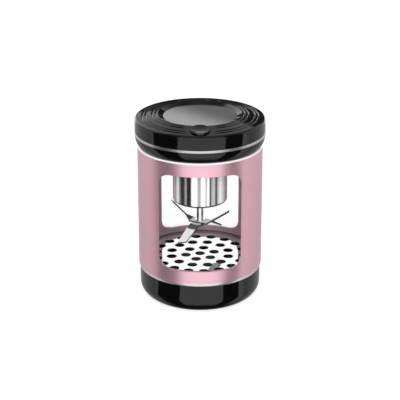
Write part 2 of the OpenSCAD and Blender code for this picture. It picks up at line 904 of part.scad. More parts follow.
// Sleeve pressed on the motor shaft, with a flange and a hollow stud for the blades
module blade_hub() {
    color([0.85, 0.85, 0.87])
    difference() {
        union() {
            translate([0, 0, blade_z]) cylinder(r = hub_r, h = hub_z1 - blade_z);
            translate([0, 0, blade_z + blade_t]) cylinder(r = hub_flange_r, h = hub_flange_h);
            translate([0, 0, blade_z - blade_t + sink]) cylinder(r = stud_r, h = stud_h);
        }
        translate([0, 0, hub_z1 - shaft_in_hub]) cylinder(r = shaft_r + 0.005, h = shaft_in_hub + cut);
        translate([0, 0, blade_z - blade_t - cut]) cylinder(r = tip_screw_r + 0.02, h = stud_h + cut);
        ring(stud_r, hub_r + 1, blade_z - cut, blade_z + blade_t);
    }
}

// Strip blade: a flat with a hole for the hub's stud, and two bent arms with their own twists.
// The mid-plane of the flat is at z.
module strip_blade(z, sweep, bend, azimuth, twists) {
    translate([0, 0, z]) rotate(azimuth) {
        difference() {
            cube([2 * bend_r, blade_w, blade_t], center = true);
            cylinder(r = stud_r + 0.02, h = 2 * cut, center = true);
        }
        for (side = [0, 1]) rotate(180 * side)
            blade_arm((sweep - bend_r) / cos(bend), bend, twists[side]);
    }
}

// One arm along +X: a short stretch that bends and twists, then a straight one with a slanted tip
module blade_arm(arm, bend, twist) {
    hull() {
        translate([bend_r - tuck, 0, 0]) blade_section();
        arm_frame(bend, twist) translate([tuck, 0, 0]) blade_section();
    }
    arm_frame(bend, twist) linear_extrude(height = blade_t, center = true) polygon([
        [0, -blade_w / 2], [arm - twist_len, -blade_tip_w / 2],
        [arm - twist_len - tip_slant, blade_tip_w / 2], [0, blade_w / 2]
    ]);
}

// Places a child where an arm's straight stretch starts
module arm_frame(bend, twist) {
    translate([bend_r, 0, 0]) rotate([0, -bend, 0])
        translate([twist_len, 0, 0]) rotate([twist, 0, 0]) children();
}

// Thin slice of a blade, a hair smaller than its section, so that the bend ends inside both sides
module blade_section() {
    cube([sink, blade_w - sink, blade_t - sink], center = true);
}

module upper_blade() {
    color([0.88, 0.88, 0.9])
    strip_blade(blade_z + blade_t / 2, upper_sweep_r, upper_bend, upper_azimuth, upper_twists);
}

module lower_blade() {
    color([0.88, 0.88, 0.9])
    strip_blade(blade_z - blade_t / 2, lower_sweep_r, -lower_bend, lower_azimuth, lower_twists);
}

module blade_screw() {
    color([0.8, 0.8, 0.82])
    difference() {
        union() {
            translate([0, 0, blade_z - blade_t - tip_head_h]) cylinder(r = tip_head_r, h = tip_head_h);
            translate([0, 0, blade_z - blade_t - sink]) cylinder(r = tip_screw_r, h = tip_screw_len);
        }
        translate([-tip_head_r - cut, -slot_w / 2, blade_z - blade_t - tip_head_h - cut])
            cube([2 * (tip_head_r + cut), slot_w, slot_deep + cut - 0.2]);
    }
}

// ---- assembly ----

base_cup();
foot_ring();
body_tube();
glass_liner();
lower_collar();
sieve_plate();
sieve_gasket();
base_seal();
head_chassis();
trim_ring();
top_cap();
badge_disc();
head_seal();
cap_screws();
motor_housing();
housing_screws();
motor_case();
motor_magnets();
motor_end_bell();
motor_terminals();
motor_brushes();
motor_bushings();
motor_dampers();
motor_screws();
shaft_seal();
circuit_board();
board_screws();
battery_cell();
battery_tape();
usb_socket();
switch_body();
board_chips();
motor_leads();
battery_leads();
power_button();
switch_plunger();
motor_shaft();
armature_core();
armature_coils();
commutator();
blade_hub();
upper_blade();
lower_blade();
blade_screw();
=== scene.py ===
"""Looks of a small battery herb grinder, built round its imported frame.

Each sub-assembly is a class that finds its pieces in the frame, rounds their edges and dresses
them in their finishes. Lengths are in metres, Z is up and the push button faces -Y.
"""

import json
import logging
import math
from dataclasses import dataclass
from enum import Enum
from typing import Any

import bpy
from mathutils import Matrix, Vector


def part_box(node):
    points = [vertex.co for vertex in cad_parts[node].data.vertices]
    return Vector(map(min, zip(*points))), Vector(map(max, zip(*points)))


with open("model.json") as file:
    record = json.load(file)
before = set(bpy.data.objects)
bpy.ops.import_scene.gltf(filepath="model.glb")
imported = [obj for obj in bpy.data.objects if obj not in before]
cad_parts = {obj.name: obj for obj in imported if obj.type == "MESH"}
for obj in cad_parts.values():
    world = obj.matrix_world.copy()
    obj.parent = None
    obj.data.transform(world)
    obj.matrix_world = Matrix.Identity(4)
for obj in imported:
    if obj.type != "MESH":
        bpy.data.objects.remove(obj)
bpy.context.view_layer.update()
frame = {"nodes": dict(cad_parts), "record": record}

logging.basicConfig(level=logging.INFO, format="%(name)s: %(message)s")
log = logging.getLogger("grinder")

MM = 0.001
SEAM_GAP = 0.0005 * MM
SHARP_ANGLE = math.radians(35)
EDGE_STEPS = 2
LARGE_FACES_WIN = 100

Colour = tuple[float, float, float]
Socket = bpy.types.NodeSocket


class Blend(Enum):
    """Math operations that the recipes use, by their plain names."""

    ADD = "ADD"
    LESS = "SUBTRACT"
    TIMES = "MULTIPLY"
    OVER = "DIVIDE"
    LARGER = "MAXIMUM"
    POWER = "POWER"
    SIZE = "ABSOLUTE"
    WRAP = "FRACT"


class Grain(Enum):
    """The way that fine tool marks run on a metal surface, as stretches along X, Y and Z."""

    ROUND_THE_AXIS = (1.0, 1.0, 60.0)
    UP_THE_AXIS = (60.0, 60.0, 1.0)
    NO_WAY = (1.0, 1.0, 1.0)


class Pattern(Enum):
    """Noises of the finishes, each as its waves per metre and how many finer octaves lie on it."""

    MOULD_CLOUD = (55.0, 3.0)
    MOULD_WAVE = (260.0, 1.0)
    MOULD_GRAIN = (5200.0, 2.0)
    RUBBED = (140.0, 4.0)
    METAL_HAZE = (120.0, 4.0)
    BLASTED = (4200.0, 3.0)
    DYE_CLOUD = (70.0, 3.0)
    TURNED = (2600.0, 2.0)
    SATIN_WEAR = (160.0, 4.0)
    WIPED = (90.0, 4.0)
    DRAWN = (700.0, 3.0)
    BUFFED = (150.0, 4.0)
    BRUSHED = (900.0, 3.0)
    FOIL_HAZE = (150.0, 3.0)
    DUSTY = (210.0, 4.0)


class Recipe:
    """A material's node tree, with short calls for the nodes that the finishes share."""

    def __init__(self, name: str) -> None:
        """Starts a material with one Principled shader.

        Args:
            name: The material's name.
        """
        self.material = bpy.data.materials.new(name)
        self.material.use_nodes = True
        self.tree = self.material.node_tree
        self.shader = self.tree.nodes["Principled BSDF"]
        self.output = self.tree.nodes["Material Output"]
        self._place: Socket | None = None

    def node(self, kind: str, **settings: Any) -> bpy.types.Node:
        """Adds a node and sets its properties.

        Args:
            kind: The node's type, without the ShaderNode prefix.
            settings: Properties to set on the node.

        Returns:
            The new node.
        """
        made = self.tree.nodes.new("ShaderNode" + kind)
        for key, value in settings.items():
            setattr(made, key, value)
        return made

    def feed(self, target: Socket, source: Socket | float | tuple) -> None:
        """Links a socket, or sets it where the source is a plain value."""
        if isinstance(source, bpy.types.NodeSocket):
            self.tree.links.new(source, target)
        else:
            target.default_value = source

    def setting(self, name: str, value: Socket | float | tuple) -> None:
        """Feeds one of the main shader's sockets by name."""
        self.feed(self.shader.inputs[name], value)

    def fed(self, name: str) -> Socket:
        """Returns what feeds one of the main shader's sockets."""
        return self.shader.inputs[name].links[0].from_socket

    def math(self, blend: Blend, first: Socket | float, second: Socket | float = 0.0) -> Socket:
        """Joins two numbers.

        Args:
            blend: What to do with them.
            first: The first number or socket.
            second: The second number or socket.

        Returns:
            The result's socket.
        """
        made = self.node("Math", operation=blend.value)
        self.feed(made.inputs[0], first)
        self.feed(made.inputs[1], second)
        return made.outputs[0]

    def place(self) -> Socket:
        """Returns the point's place in the frame, in metres."""
        if self._place is None:
            self._place = self.node("TexCoord").outputs["Object"]
        return self._place

    def stretched(self, grain: Grain) -> Socket:
        """Returns the point's place, stretched so that a noise runs along the grain.

        Args:
            grain: The way that the marks run.

        Returns:
            The vector's socket.
        """
        made = self.node("Mapping")
        self.feed(made.inputs["Vector"], self.place())
        made.inputs["Scale"].default_value = grain.value
        return made.outputs[0]

    def parts_of_place(self) -> tuple[Socket, Socket, Socket]:
        """Returns the place's X, Y and Z sockets."""
        made = self.node("SeparateXYZ")
        self.feed(made.inputs[0], self.place())
        return made.outputs[0], made.outputs[1], made.outputs[2]

    def radius(self) -> Socket:
        """Returns the distance from the grinder's axis."""
        x, y, _ = self.parts_of_place()
        made = self.node("CombineXYZ")
        self.feed(made.inputs[0], x)
        self.feed(made.inputs[1], y)
        length = self.node("VectorMath", operation="LENGTH")
        self.feed(length.inputs[0], made.outputs[0])
        return length.outputs["Value"]

    def turn(self) -> Socket:
        """Returns the angle round the grinder's axis, from the front, in radians."""
        x, y, _ = self.parts_of_place()
        made = self.node("Math", operation="ARCTAN2")
        self.feed(made.inputs[0], x)
        self.feed(made.inputs[1], self.math(Blend.TIMES, y, -1.0))
        return made.outputs[0]

    def height(self) -> Socket:
        """Returns the height over the resting plane."""
        return self.parts_of_place()[2]

    def noise(self, scale: float, detail: float = 2.0, grain: Grain = Grain.NO_WAY) -> Socket:
        """Adds a noise over the surface.

        Args:
            scale: Waves per metre.
            detail: How many finer octaves lie on it.
            grain: The way that it is stretched.

        Returns:
            The noise's value socket.
        """
        made = self.node("TexNoise")
        self.feed(made.inputs["Vector"], self.stretched(grain))
        made.inputs["Scale"].default_value = scale
        made.inputs["Detail"].default_value = detail
        return made.outputs["Fac"]

    def span(self, source: Socket, start: float, end: float, low: float, high: float) -> Socket:
        """Maps one range of numbers smoothly on another.

        Args:
            source: The socket to map.
            start: Where the source's range starts.
            end: Where the source's range ends.
            low: The result at the start.
            high: The result at the end.

        Returns:
            The mapped socket.
        """
        made = self.node("MapRange", interpolation_type="SMOOTHSTEP")
        self.feed(made.inputs["Value"], source)
        for name, value in zip(("From Min", "From Max", "To Min", "To Max"), (start, end, low, high)):
            made.inputs[name].default_value = value
        return made.outputs["Result"]

    def mixed(self, share: Socket | float, first: Socket | Colour, second: Socket | Colour) -> Socket:
        """Mixes two colours.

        Args:
            share: How much of the second there is.
            first: The first colour.
            second: The second colour.

        Returns:
            The mix's socket.
        """
        made = self.node("Mix", data_type="RGBA")
        self.feed(made.inputs["Factor"], share)
        for name, colour in (("A", first), ("B", second)):
            socket = next(s for s in made.inputs if s.name == name and s.type == "RGBA")
            self.feed(socket, (*colour, 1.0) if isinstance(colour, tuple) else colour)
        return next(s for s in made.outputs if s.type == "RGBA")

    def between(self, share: Socket, first: Socket | float, second: Socket | float) -> Socket:
        """Mixes two numbers.

        Args:
            share: How much of the second there is.
            first: The first number.
            second: The second number.

        Returns:
            The mix's socket.
        """
        made = self.node("Mix", data_type="FLOAT")
        for name, value in (("Factor", share), ("A", first), ("B", second)):
            self.feed(made.inputs[name], value)
        return made.outputs["Result"]

    def ramp(self, source: Socket, stops: list[tuple[float, Colour]]) -> Socket:
        """Turns a number into a colour along a ramp.

        Args:
            source: The number's socket.
            stops: Places along the ramp and their colours.

        Returns:
            The colour's socket.
        """
        made = self.node("ValToRGB")
        made.color_ramp.interpolation = "EASE"
        elements = made.color_ramp.elements
        while len(elements) < len(stops):
            elements.new(0.5)
        for element, (at, colour) in zip(elements, stops):
            element.position = at
            element.color = (*colour, 1.0)
        self.feed(made.inputs[0], source)
        return made.outputs["Color"]

    def bump(self, source: Socket, depth: float, strength: float = 1.0) -> None:
        """Lays a relief on the surface.

        Args:
            source: The relief's height, from 0 to 1.
            depth: Its depth in metres.
            strength: How much of it shows.
        """
        made = self.node("Bump")
        made.inputs["Distance"].default_value = depth
        made.inputs["Strength"].default_value = strength
        before = self.shader.inputs["Normal"]
        if before.is_linked:
            self.feed(made.inputs["Normal"], before.links[0].from_socket)
        self.feed(made.inputs["Height"], source)
        self.feed(before, made.outputs[0])


@dataclass(frozen=True)
class Moulded:
    """Moulded plastic: an even colour, a soft wave of the tool's surface and rubbed patches."""

    name: str
    colour: Colour
    roughness: float = 0.05
    rubbed: float = 0.1
    wave: float = 0.002 * MM
    grain_depth: float = 0.0
    ior: float = 1.5
    cloud_gain: float = 1.25
    cloud_lift: float = 0.001
    patch_from: float = 0.5
    patch_to: float = 0.72

    def dress(self, recipe: Recipe) -> None:
        """Fills a recipe with the plastic's colour, gloss and surface.

        Args:
            recipe: The recipe to fill.
        """
        cloud = recipe.noise(*Pattern.MOULD_CLOUD.value)
        lighter = tuple(c * self.cloud_gain + self.cloud_lift for c in self.colour)
        recipe.setting("Base Color", recipe.mixed(cloud, self.colour, lighter))
        worn = recipe.noise(*Pattern.RUBBED.value)
        patches = recipe.span(worn, self.patch_from, self.patch_to, 0.0, 1.0)
        rough = recipe.math(Blend.TIMES, patches, self.rubbed)
        recipe.setting("Roughness", recipe.math(Blend.ADD, rough, self.roughness))
        recipe.setting("IOR", self.ior)
        recipe.bump(recipe.noise(*Pattern.MOULD_WAVE.value), self.wave)
        if self.grain_depth:
            recipe.bump(recipe.noise(*Pattern.MOULD_GRAIN.value), self.grain_depth)

    def make(self) -> bpy.types.Material:
        """Builds the material.

        Returns:
            The new material.
        """
        recipe = Recipe(self.name)
        self.dress(recipe)
        return recipe.material


@dataclass(frozen=True)
class CupShell:
    """Black moulded cup, high gloss outside, with a satin grey painted inside as light in the hollow."""

    name: str
    floor: float
    bore: float
    shell: Moulded
    inner_painted_light: Colour = (0.17, 0.17, 0.172)
    satin: float = 0.38
    fade: float = 0.3 * MM

    def make(self) -> bpy.types.Material:
        """Builds the material.

        Returns:
            The new material.
        """
        recipe = Recipe(self.name)
        self.shell.dress(recipe)
        within = recipe.span(recipe.radius(), self.bore, self.bore + self.fade, 1.0, 0.0)
        above = recipe.span(recipe.height(), self.floor - self.fade, self.floor, 0.0, 1.0)
        inside = recipe.math(Blend.TIMES, within, above)
        # Painted light: inside the cup the black gives way to a satin grey, as if lit.
        recipe.setting("Base Color", recipe.mixed(inside, recipe.fed("Base Color"), self.inner_painted_light))
        recipe.setting("Roughness", recipe.between(inside, recipe.fed("Roughness"), self.satin))
        return recipe.material


@dataclass(frozen=True)
class Metal:
    """Plain metal: its colour, the run of its tool marks, and worn or hazy patches."""

    name: str
    colour: Colour
    roughness: float = 0.2
    haze: float = 0.08
    grain: Grain = Grain.NO_WAY
    grain_scale: float = 900.0
    grain_depth: float = 0.0008 * MM
    shade: float = 0.85
    metal: float = 1.0
    octaves: float = 3.0

    def dress(self, recipe: Recipe) -> None:
        """Fills a recipe with the metal's colour, marks and haze.

        Args:
            recipe: The recipe to fill.
        """
        marks = recipe.noise(self.grain_scale, self.octaves, self.grain)
        darker = tuple(c * self.shade for c in self.colour)
        recipe.setting("Base Color", recipe.mixed(marks, self.colour, darker))
        recipe.setting("Metallic", self.metal)
        hazy = recipe.math(Blend.TIMES, recipe.noise(*Pattern.METAL_HAZE.value), self.haze)
        recipe.setting("Roughness", recipe.math(Blend.ADD, hazy, self.roughness))
        recipe.bump(marks, self.grain_depth)

    def make(self) -> bpy.types.Material:
        """Builds the material.

        Returns:
            The new material.
        """
        recipe = Recipe(self.name)
        self.dress(recipe)
        return recipe.material


@dataclass(frozen=True)
class AnodisedTube:
    """Satin rose anodising outside, bright-cut bevels at both ends, and a bore painted darker as shade
    inside the tube.
    """

    name: str
    low: float
    high: float
    outer_r: float
    bevel_low: float
    bevel_high: float
    rose: Colour = (0.95, 0.575, 0.67)
    # Painted shade: the darker rose of the tube's inside.
    bore: Colour = (0.66, 0.46, 0.51)
    bright: Colour = (0.97, 0.96, 0.96)
    metal: float = 0.9
    satin: float = 0.33
    head_metal: float = 0.3
    bore_metal: float = 0.6
    bevel_gloss: float = 0.25
    skin: float = 1.0 * MM
    skin_fade: float = 0.3 * MM
    line: float = 0.02 * MM
    deep_shade: float = 0.93
    speck: Colour = (0.78, 0.45, 0.53)
    speck_share: float = 0.12
    tooled_shade: float = 0.82
    wear: float = 0.05
    blast_depth: float = 0.0015 * MM
    blast_strength: float = 0.6

    def make(self) -> bpy.types.Material:
        """Builds the material.

        Returns:
            The new material.
        """
        recipe = Recipe(self.name)
        height, radius = recipe.height(), recipe.radius()
        blast = recipe.noise(*Pattern.BLASTED.value)
        cloud = recipe.noise(*Pattern.DYE_CLOUD.value)
        deep = tuple(c * self.deep_shade for c in self.rose)
        dyed = recipe.mixed(cloud, self.rose, deep)
        dyed = recipe.mixed(recipe.math(Blend.TIMES, blast, self.speck_share), dyed, self.speck)
        within = self.outer_r - self.skin
        inside = recipe.span(radius, within, within - self.skin_fade, 0.0, 1.0)
        # Painted shade: the bore inside the tube takes the darker rose.
        dyed = recipe.mixed(inside, dyed, self.bore)
        foot_top = self.low + self.bevel_low
        foot = recipe.span(height, foot_top - self.line, foot_top, 1.0, 0.0)
        head_foot = self.high - self.bevel_high
        head = recipe.span(height, head_foot, head_foot + self.line, 0.0, 1.0)
        cut = recipe.math(Blend.LARGER, foot, head)
        cut = recipe.math(Blend.TIMES, cut, recipe.math(Blend.LESS, 1.0, inside))
        turned = recipe.noise(*Pattern.TURNED.value, Grain.ROUND_THE_AXIS)
        bright = recipe.mixed(turned, self.bright, tuple(c * self.tooled_shade for c in self.bright))
        recipe.setting("Base Color", recipe.mixed(cut, dyed, bright))
        metal = recipe.between(head, self.metal, self.head_metal)
        recipe.setting("Metallic", recipe.between(inside, metal, self.bore_metal))
        worn = recipe.math(Blend.TIMES, recipe.noise(*Pattern.SATIN_WEAR.value), self.wear)
        satin = recipe.math(Blend.ADD, worn, self.satin)
        recipe.setting("Roughness", recipe.between(cut, satin, self.bevel_gloss))
        recipe.bump(blast, self.blast_depth, self.blast_strength)
        return recipe.material


@dataclass(frozen=True)
class ClearWall:
    """Clear drawn tube: mostly open, with its gloss, a faint cool tint and a few wipe marks."""

    name: str
    tint: Colour = (0.997, 0.999, 0.999)
    gloss: float = 0.02
    face_on: float = 0.006
    falloff: float = 5.0
    wiped_tint: float = 0.985
    wiped_gloss: float = 0.05
    wiped_from: float = 0.45
    wiped_to: float = 0.75

    def make(self) -> bpy.types.Material:
        """Builds the material.

        Returns:
            The new material.
        """
        recipe = Recipe(self.name)
        recipe.tree.nodes.remove(recipe.shader)
        open_part = recipe.node("BsdfTransparent")
        wipes = recipe.noise(*Pattern.WIPED.value)
        wiped = tuple(c * self.wiped_tint for c in self.tint)
        recipe.feed(open_part.inputs["Color"], recipe.mixed(wipes, self.tint, wiped))
        shine = recipe.node("BsdfGlossy")
        dull = self.gloss + self.wiped_gloss
        smeared = recipe.span(wipes, self.wiped_from, self.wiped_to, self.gloss, dull)
        recipe.feed(shine.inputs["Roughness"], smeared)
        slant = recipe.node("LayerWeight").outputs["Facing"]
        steep = recipe.math(Blend.POWER, slant, self.falloff)
        edge = recipe.math(Blend.TIMES, steep, 1.0 - self.face_on)
        both = recipe.node("MixShader")
        recipe.feed(both.inputs[0], recipe.math(Blend.ADD, edge, self.face_on))
        recipe.feed(both.inputs[1], open_part.outputs[0])
        recipe.feed(both.inputs[2], shine.outputs[0])
        recipe.feed(recipe.output.inputs["Surface"], both.outputs[0])
        return recipe.material


@dataclass(frozen=True)
class ReflectionPaintedCover:
    """Bright plated cover with fine drawing marks, soft up-and-down bands of painted reflection round it,
    and a dark rim of painted shade.
    """

    name: str
    painted_reflections: tuple[tuple[float, float], ...]
    low: float
    rim: float = 1.0 * MM
    painted_rim_shade: Colour = (0.03, 0.03, 0.031)
    metal: float = 0.15
    sheen: float = 0.2
    cool: float = 1.01
    rim_fade: float = 0.3
    scuff: Colour = (0.5, 0.5, 0.51)
    scuff_share: float = 0.02
    haze: float = 0.06
    gloss: float = 0.08
    draw_depth: float = 0.0006 * MM

    def make(self) -> bpy.types.Material:
        """Builds the material.

        Returns:
            The new material.
        """
        recipe = Recipe(self.name)
        # Painted reflection: bands of light and dark round the axis, in the base colour, stand in for the
        # surround's reflection.
        share = recipe.math(Blend.ADD, recipe.math(Blend.OVER, recipe.turn(), math.pi), 0.5)
        around = recipe.math(Blend.WRAP, share)
        stops = [(at, (level, level, level * self.cool)) for at, level in self.painted_reflections]
        reflection_bands = recipe.ramp(around, stops)
        fine = recipe.noise(*Pattern.DRAWN.value, Grain.UP_THE_AXIS)
        plated = recipe.mixed(recipe.math(Blend.TIMES, fine, self.scuff_share), reflection_bands, self.scuff)
        # Painted shade: a dark band along the cover's bottom rim.
        rim_top = self.low + self.rim
        at_rim = recipe.span(recipe.height(), rim_top, rim_top + self.rim_fade * self.rim, 1.0, 0.0)
        recipe.setting("Base Color", recipe.mixed(at_rim, plated, self.painted_rim_shade))
        recipe.setting("Metallic", self.metal)
        recipe.setting("Specular IOR Level", self.sheen)
        hazy = recipe.math(Blend.TIMES, recipe.noise(*Pattern.BUFFED.value), self.haze)
        recipe.setting("Roughness", recipe.math(Blend.ADD, hazy, self.gloss))
        recipe.bump(fine, self.draw_depth)
        return recipe.material


@dataclass(frozen=True)
class StampedBlade:
    """Ground steel strip: bright faces, painted shade on its side faces and tips, and a band of painted
    shade across its bend.
    """

    name: str
    turn: float
    bend: tuple[float, float] | None = None
    face: Metal = Metal(
        "face", (0.98, 0.98, 0.985), 0.32, 0.08, Grain.UP_THE_AXIS, 1500.0, shade=0.95, metal=0.1
    )
    # Painted shade: the colour of faces that look along or across the blade, its side faces and tips.
    edge: Colour = (0.035, 0.035, 0.037)
    side_shade_from: float = 0.66
    side_shade_to: float = 0.72
    painted_bend_shade: Colour = (0.1, 0.1, 0.105)
    fade_in: float = 0.4 * MM
    fade_out: float = 0.8 * MM

    def make(self) -> bpy.types.Material:
        """Builds the material.

        Returns:
            The new material.
        """
        recipe = Recipe(self.name)
        self.face.dress(recipe)
        colour = recipe.fed("Base Color")
        # Painted shade: a dark band across the blade between two distances from the axis, where the
        # motor's shadow falls.
        if self.bend:
            start, end = self.bend
            radius = recipe.radius()
            near = recipe.span(radius, end, end + self.fade_out, 1.0, 0.0)
            far = recipe.span(radius, start, start + self.fade_in, 0.0, 1.0)
            colour = recipe.mixed(recipe.math(Blend.TIMES, near, far), colour, self.painted_bend_shade)
        # Painted shade on the faces that look along or across the blade.
        along = (math.cos(self.turn), math.sin(self.turn), 0.0)
        across = (-along[1], along[0], 0.0)
        leans = [self.lean(recipe, way) for way in (along, across)]
        leaning = recipe.math(Blend.LARGER, *leans)
        share = recipe.span(leaning, self.side_shade_from, self.side_shade_to, 0.0, 1.0)
        recipe.setting("Base Color", recipe.mixed(share, colour, self.edge))
        return recipe.material

    @staticmethod
    def lean(recipe: Recipe, way: tuple[float, float, float]) -> Socket:
        """Returns how far the surface faces one way or its opposite, from 0 to 1."""
        made = recipe.node("VectorMath", operation="DOT_PRODUCT")
        recipe.feed(made.inputs[0], recipe.node("TexCoord").outputs["Normal"])
        made.inputs[1].default_value = way
        return recipe.math(Blend.SIZE, made.outputs["Value"])


@dataclass(frozen=True)
class BadgeFoil:
    """Smoked foil with a painted reflection, pale at its front left and dark at its back right."""

    name: str
    pale: Colour = (0.42, 0.42, 0.424)
    dark: Colour = (0.01, 0.01, 0.011)
    pale_at: float = -19.8 * MM
    dark_at: float = 14.7 * MM
    brush_share: float = 0.04
    brush_depth: float = 0.0004 * MM
    hazed: tuple[float, float] = (0.3, 0.7)
    rough: tuple[float, float] = (0.08, 0.14)

    def make(self) -> bpy.types.Material:
        """Builds the material.

        Returns:
            The new material.
        """
        recipe = Recipe(self.name)
        x, y, _ = recipe.parts_of_place()
        # Painted reflection: the base colour runs from pale at the front left to dark at the back right.
        painted_sweep = recipe.span(recipe.math(Blend.ADD, x, y), self.pale_at, self.dark_at, 0.0, 1.0)
        brushed = recipe.noise(*Pattern.BRUSHED.value)
        painted_sweep = recipe.math(Blend.ADD, painted_sweep, recipe.math(Blend.TIMES, brushed, self.brush_share))
        recipe.setting("Base Color", recipe.mixed(painted_sweep, self.pale, self.dark))
        recipe.setting("Metallic", 1.0)
        hazy = recipe.span(recipe.noise(*Pattern.FOIL_HAZE.value), *self.hazed, *self.rough)
        recipe.setting("Roughness", hazy)
        recipe.bump(brushed, self.brush_depth)
        return recipe.material


@dataclass(frozen=True)
class Soft:
    """Rubber, silicone, foam or laminate: a matt skin with its own grain."""

    name: str
    colour: Colour
    roughness: float = 0.7
    grain_scale: float = 3600.0
    grain_depth: float = 0.01 * MM
    glow: float = 0.0
    glow_depth: float = 1.0 * MM
    octaves: float = 3.0
    dust_gain: float = 1.3
    dust_lift: float = 0.01
    worn: tuple[float, float] = (0.3, 0.7)
    spread: float = 0.1

    def make(self) -> bpy.types.Material:
        """Builds the material.

        Returns:
            The new material.
        """
        recipe = Recipe(self.name)
        grain = recipe.noise(self.grain_scale, self.octaves)
        dusty = tuple(min(1.0, c * self.dust_gain + self.dust_lift) for c in self.colour)
        recipe.setting("Base Color", recipe.mixed(recipe.noise(*Pattern.DUSTY.value), self.colour, dusty))
        smooth, coarse = self.roughness - self.spread, self.roughness + self.spread
        recipe.setting("Roughness", recipe.span(grain, *self.worn, smooth, coarse))
        recipe.setting("Subsurface Weight", self.glow)
        recipe.setting("Subsurface Scale", self.glow_depth)
        recipe.bump(grain, self.grain_depth)
        return recipe.material


FINISHES = {
    "black_gloss": Moulded("black gloss", (0.0008, 0.0008, 0.0009), 0.03, 0.05),
    "button_black": Moulded("button gloss", (0.003, 0.003, 0.0033), 0.05, 0.06, ior=1.6),
    "black_matte": Moulded("black matt", (0.02, 0.02, 0.02), 0.5, 0.1, grain_depth=0.01 * MM),
    "white_plastic": Moulded("white nylon", (0.75, 0.75, 0.71), 0.4, 0.1, grain_depth=0.006 * MM),
    "polished_steel": Metal("polished steel", (0.97, 0.97, 0.975), 0.02, 0.02, shade=0.98),
    "chrome": Metal("satin chrome", (0.78, 0.78, 0.79), 0.34, 0.05, Grain.ROUND_THE_AXIS, 500.0),
    "zinc_steel": Metal("zinc plate", (0.62, 0.63, 0.66), 0.3, 0.2),
    "motor_steel": Metal("nickelled steel", (0.6, 0.6, 0.6), 0.28, 0.15, Grain.UP_THE_AXIS),
    "ferrite": Metal("sintered ferrite", (0.16, 0.16, 0.17), 0.5, 0.2, grain_depth=0.004 * MM),
    "copper": Metal("enamelled copper", (0.7, 0.33, 0.15), 0.22, 0.1, Grain.ROUND_THE_AXIS, 300.0),
    "brass": Metal("brass", (0.78, 0.6, 0.28), 0.25, 0.15),
    "silicone": Soft("clear silicone", (0.7, 0.71, 0.7), 0.4, glow=0.3),
    "black_rubber": Soft("black rubber", (0.025, 0.025, 0.025), 0.75),
    "board_green": Soft("solder mask", (0.02, 0.14, 0.06), 0.35, 900.0, 0.004 * MM),
    "cell_wrap": Metal(
        "foil pouch", (0.72, 0.73, 0.76), 0.32, 0.15, grain_scale=400.0, grain_depth=0.01 * MM
    ),
    "foam_tape": Soft("foam tape", (0.6, 0.55, 0.25), 0.8),
    "lead_jacket": Soft("lead jacket", (0.4, 0.02, 0.02), 0.45),
}


class Finisher:
    """Makes each finish once and puts it on the pieces that take it."""

    def __init__(self) -> None:
        """Reads which slot each CAD node takes from the record."""
        self.slots = {part["node"]: part["material_slot"] for part in frame["record"]["subparts"]}
        self.made: dict[str, bpy.types.Material] = {}

    def material(self, slot: str) -> bpy.types.Material:
        """Returns the slot's material, made on its first use."""
        if slot not in self.made:
            self.made[slot] = FINISHES[slot].make()
        return self.made[slot]

    def dress(self, node: str, material: bpy.types.Material | None = None) -> bpy.types.Object:
        """Dresses a CAD node.

        Args:
            node: The node's name.
            material: Its material, or None for its slot's own.

        Returns:
            The node's object.
        """
        piece = frame["nodes"][node]
        chosen = material or self.material(self.slots[node])
        if not piece.material_slots:
            piece.data.materials.append(None)
        for place in piece.material_slots:
            place.link = "DATA"
            place.material = chosen
        log.info("%s: %s", node, chosen.name)
        return piece


def soften_edges(piece: bpy.types.Object, width: float) -> None:
    """Rounds a piece's sharp edges a little, so that they catch the light.

    Args:
        piece: The piece.
        width: The width of the rounding.
    """
    weld = piece.modifiers.new("join seams", "WELD")
    weld.merge_threshold = SEAM_GAP
    bevel = piece.modifiers.new("soft edges", "BEVEL")
    bevel.width = width
    bevel.segments = EDGE_STEPS
    bevel.limit_method = "ANGLE"
    bevel.angle_limit = SHARP_ANGLE
    bevel.harden_normals = True
    level = piece.modifiers.new("true faces", "WEIGHTED_NORMAL")
    level.keep_sharp = True
    level.weight = LARGE_FACES_WIN


@dataclass
class BaseCup:
    """The collecting cup and the rubber ring that it stands on."""

    edge: float = 0.2 * MM
    floor: float = 2.6 * MM
    wall: float = 2.15 * MM

    def build(self, finisher: Finisher) -> None:
        """Dresses the cup and its foot."""
        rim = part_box("base_cup")[1]
        finish = CupShell("cup with painted inner light", self.floor, rim.x - self.wall, FINISHES["black_gloss"])
        soften_edges(finisher.dress("base_cup", finish.make()), self.edge)
        finisher.dress("foot_ring")


@dataclass
class Chamber:
    """The windowed tube, its clear liner, the sieve and the collar that holds it."""

    bevel_low: float = 1.6 * MM
    bevel_high: float = 0.7 * MM
    edge: float = 0.1 * MM

    def build(self, finisher: Finisher) -> None:
        """Dresses the tube and what it holds."""
        low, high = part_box("body_tube")
        tube = AnodisedTube("rose anodised", low.z, high.z, high.x, self.bevel_low, self.bevel_high)
        soften_edges(finisher.dress("body_tube", tube.make()), self.edge)
        finisher.dress("glass_liner", ClearWall("clear liner").make())
        soften_edges(finisher.dress("sieve_plate"), self.edge)
        finisher.dress("sieve_gasket", Soft("smoky silicone", (0.11, 0.085, 0.09), 0.45).make())
        for node in ("lower_collar", "base_seal"):
            finisher.dress(node)


